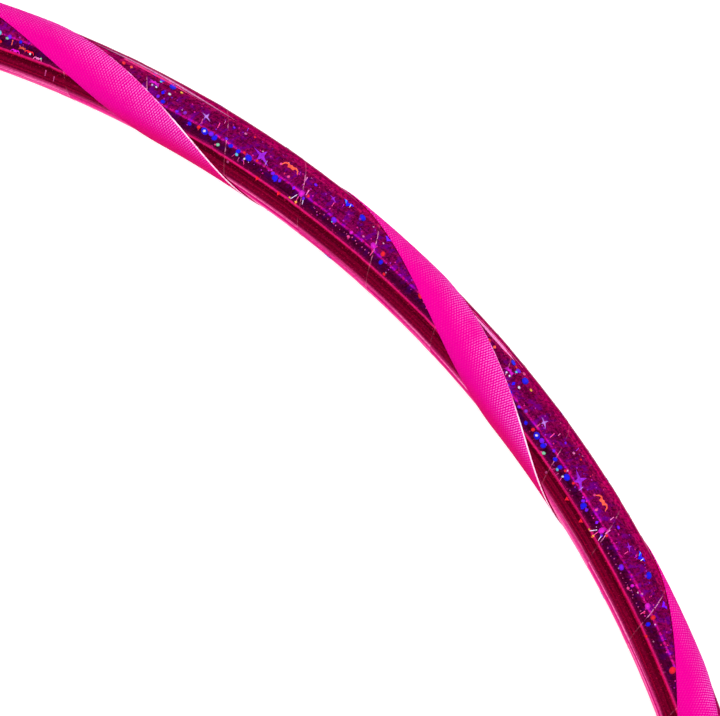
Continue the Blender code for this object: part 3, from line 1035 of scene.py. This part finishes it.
def tube_piece(finish):
    """The plastic tube as a smooth round ring with its two square ends."""
    made = bmesh.new()
    half = turn_of(BUTT_GAP / 2)
    first, last = JOINT_TURN - 360.0 + half, JOINT_TURN - half
    arounds = [360.0 * i / TUBE_SEGMENTS for i in range(TUBE_SEGMENTS)]
    before = None
    for step in range(TUBE_STEPS + 1):
        turn = first + (last - first) * step / TUBE_STEPS
        rings = [
            [made.verts.new(place(turn, around, radius)) for around in arounds]
            for radius in (BORE_RADIUS, TUBE_RADIUS)
        ]
        if before is None:
            join_rings(made, *rings)
        else:
            for old, new in zip(before, rings):
                join_rings(made, old, new)
        before = rings
    join_rings(made, *before)
    bmesh.ops.recalc_face_normals(made, faces=made.faces)
    return make_object("tube", made, finish)


def join_rings(made, first, second):
    """A band of faces between two rings of corners."""
    for i, corner in enumerate(first):
        made.faces.new((corner, first[i - 1], second[i - 1], second[i]))


def bore(pieces):
    """Bores the joint's holes through each of these pieces."""
    cutters = []
    for node, radius in HOLES:
        low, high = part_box(node)
        middle = (low + high) / 2
        made = bmesh.new()
        bmesh.ops.create_cone(
            made, cap_ends=True, segments=HOLE_SEGMENTS, radius1=radius, radius2=radius, depth=CUTTER_HEIGHT
        )
        cutter = make_object("cutter", made)
        cutter.location = (middle.x, middle.y, CENTRE_HEIGHT + CUTTER_HEIGHT / 2)
        cutters.append(cutter)
    for piece in pieces:
        for cutter in cutters:
            hole = piece.modifiers.new("hole", "BOOLEAN")
            hole.operation = "DIFFERENCE"
            hole.solver = "EXACT"
            hole.object = cutter
    graph = bpy.context.evaluated_depsgraph_get()
    bored = [bpy.data.meshes.new_from_object(piece.evaluated_get(graph)) for piece in pieces]
    for piece, mesh in zip(pieces, bored):
        piece.modifiers.clear()
        piece.data = mesh
        mesh.set_sharp_from_angle(angle=SHARP_ANGLE)
    for cutter in cutters:
        bpy.data.objects.remove(cutter)


# -------------------------------------------------------------------------------------------------- build


def build_pieces():
    foil = foil_material()
    cloth = cloth_material()
    rim = cut_edge_material()
    wrap = foil_pieces(foil)
    white = plastic_material("tube_plastic", (0.86, 0.86, 0.84), (0.78, 0.78, 0.75), 0.35)
    tube = tube_piece(white)
    bore([wrap[0], wrap[-1], tube])
    for piece in wrap:
        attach(piece, "hoop")
        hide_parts("foil_wrap")
    for piece in figure_pieces(figure_material()):
        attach(piece, "hoop")
    for piece in grip_pieces(cloth, rim):
        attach(piece, "hoop")
        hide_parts("grip_tape")
    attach(tube, "hoop")
    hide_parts("hoop_tube")


def finish_cad_nodes():
    """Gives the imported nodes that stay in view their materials."""
    steel = metal_material("bright_steel", (0.72, 0.72, 0.74), (0.55, 0.55, 0.57), 0.18)
    spring = metal_material("spring_steel", (0.38, 0.39, 0.42), (0.26, 0.27, 0.3), 0.3)
    aluminium = metal_material("rivet_aluminium", (0.8, 0.8, 0.81), (0.66, 0.66, 0.68), 0.3)
    black = plastic_material("insert_plastic", (0.06, 0.06, 0.065), (0.035, 0.035, 0.04), 0.45)
    finishes = {
        "joint_insert": black,
        "snap_button": steel,
        "snap_spring": spring,
        "rivet_body_1": aluminium,
        "rivet_body_2": aluminium,
        "rivet_mandrel_1": steel,
        "rivet_mandrel_2": steel,
    }
    for node, finish in finishes.items():
        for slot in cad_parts[node].material_slots:
            slot.link = "OBJECT"
            slot.material = finish


def bend_spring():
    """Gives the spring its own copy of its mesh."""
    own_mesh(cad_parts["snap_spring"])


def world_light():
    """The studio that the mirror film reflects: dark overhead with two bright strips, a wall on the outer
    side, a darker one with faint lines on the inner side, and more light from below. The camera sees plain
    white."""
    world = bpy.data.worlds.new("studio")
    bpy.context.scene.world = world
    world.use_nodes = True
    n = Nodes(world.node_tree)
    facing = math.atan2(VIEW_CENTRE.y, VIEW_CENTRE.x)
    direction = n.node("ShaderNodeTexCoord").outputs["Generated"]
    outwards = n.node("ShaderNodeVectorMath", operation="DOT_PRODUCT")
    n.put(outwards.inputs[0], direction)
    outwards.inputs[1].default_value = (math.cos(facing), math.sin(facing), 0.0)
    share = n.node("ShaderNodeMapRange")
    n.put(share.inputs["Value"], n.math("ARCTAN2", outwards.outputs["Value"], n.split(direction)[2]))
    share.inputs["From Min"].default_value = -math.pi
    share.inputs["From Max"].default_value = math.pi
    stops = [((degrees + 180.0) / 360.0, (level,) * 3) for degrees, level in LIGHT_BANDS]
    studio = n.tree.nodes["Background"]
    n.put(studio.inputs["Color"], n.ramp(share.outputs[0], stops))

    white = n.node("ShaderNodeBackground")
    white.inputs["Color"].default_value = (1.0, 1.0, 1.0, 1.0)
    choose = n.node("ShaderNodeMixShader")
    n.put(choose.inputs[0], n.node("ShaderNodeLightPath").outputs["Is Camera Ray"])
    n.put(choose.inputs[1], studio.outputs[0])
    n.put(choose.inputs[2], white.outputs[0])
    n.put(n.tree.nodes["World Output"].inputs["Surface"], choose.outputs[0])


def floor():
    """A white light table."""
    made = bmesh.new()
    bmesh.ops.create_grid(made, x_segments=1, y_segments=1, size=TABLE_REACH)
    s = Shader("table")
    s.set("Base Color", (0.9, 0.9, 0.9, 1.0))
    s.set("Roughness", 1.0)
    s.set("Specular IOR Level", 0.0)
    s.set("Emission Color", (1.0, 1.0, 1.0, 1.0))
    s.set("Emission Strength", 0.45)
    table = make_object("table", made, s.material)
    table.location.z = -TABLE_DROP
    table.visible_glossy = False


def key_light():
    """One large soft box straight above. The mirror film doesn't show it."""
    data = bpy.data.lights.new("key", "AREA")
    data.shape = "SQUARE"
    data.size = 1.4
    data.energy = 24.0
    light = bpy.data.objects.new("key", data)
    light.location = (0.3, 0.3, 1.35)
    light.visible_glossy = False
    light.visible_camera = False
    bpy.context.scene.collection.objects.link(light)


def camera():
    data = bpy.data.cameras.new("camera")
    data.lens = LENS
    data.sensor_width = SENSOR
    data.clip_end = 100.0
    made = bpy.data.objects.new("camera", data)
    made.location = VIEW_CENTRE + Vector((0.0, 0.0, VIEW_WIDTH * LENS / SENSOR))
    bpy.context.scene.collection.objects.link(made)
    bpy.context.scene.camera = made


build_pieces()
finish_cad_nodes()
bend_spring()
world_light()
floor()
key_light()
camera()
bpy.context.scene.view_settings.view_transform = "Standard"
